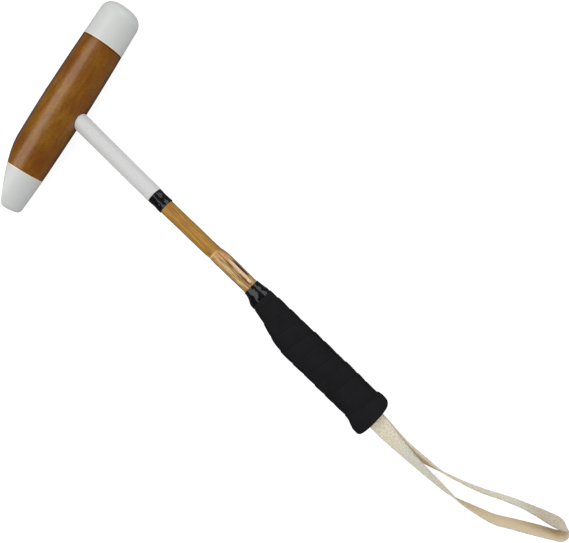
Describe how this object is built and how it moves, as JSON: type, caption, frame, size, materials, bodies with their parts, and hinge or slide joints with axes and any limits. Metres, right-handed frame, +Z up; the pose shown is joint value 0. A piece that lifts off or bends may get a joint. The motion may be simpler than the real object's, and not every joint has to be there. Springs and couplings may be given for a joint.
{
  "type": "polo mallet",
  "caption": "Short mallet: a barrel-shaped wooden head with coated ends on a bamboo cane, an oval wound grip that flares at the butt, and a webbing wrist loop.",
  "frame": {"origin": "on the surface that the mallet lies on, under the middle of the box round its rigid pieces", "axes": "+X along the cane from the head to the butt, +Y towards the head's toe, +Z up from the surface; the mallet lies on its side, resting on the head's belly and the butt's flare"},
  "size_m": [0.7179, 0.2294, 0.0456],
  "materials": {
    "stained_wood": "stained brown, satin varnish",
    "white_coat": "smooth white dipped coat, satin",
    "bamboo": "natural bamboo, varnished",
    "wedge_wood": "plain hardwood",
    "white_cloth": "smooth white cloth tape",
    "gloss_tape": "glossy black tape",
    "handle_wood": "wood, stained black at the butt",
    "grip_rubber": "matt black rubber tape",
    "webbing": "natural cotton webbing",
    "steel": "plain steel nails"
  },
  "bodies": {
    "mallet": {"head_barrel": "stained_wood", "toe_coat": "white_coat", "heel_coat": "white_coat", "cane_shaft": "bamboo", "cane_foot_wedge": "wedge_wood", "white_cloth_wrap": "white_cloth", "black_band": "gloss_tape", "neck_tape": "gloss_tape", "handle_half_upper": "handle_wood", "handle_half_lower": "handle_wood", "grip_wrap": "grip_rubber", "sling_tail_upper": "webbing", "sling_tail_lower": "webbing", "sling_pin_inner": "steel", "sling_pin_outer": "steel"},
    "sling": {"sling_loop": "webbing"}
  },
  "joints": [
    {"name": "sling_swing", "type": "hinge", "parent": "mallet", "child": "sling", "pos_m": [0.24687, -0.00731, 0.01887], "axis": [0, 1, 0], "range_deg": [-75, 75]}
  ]
}
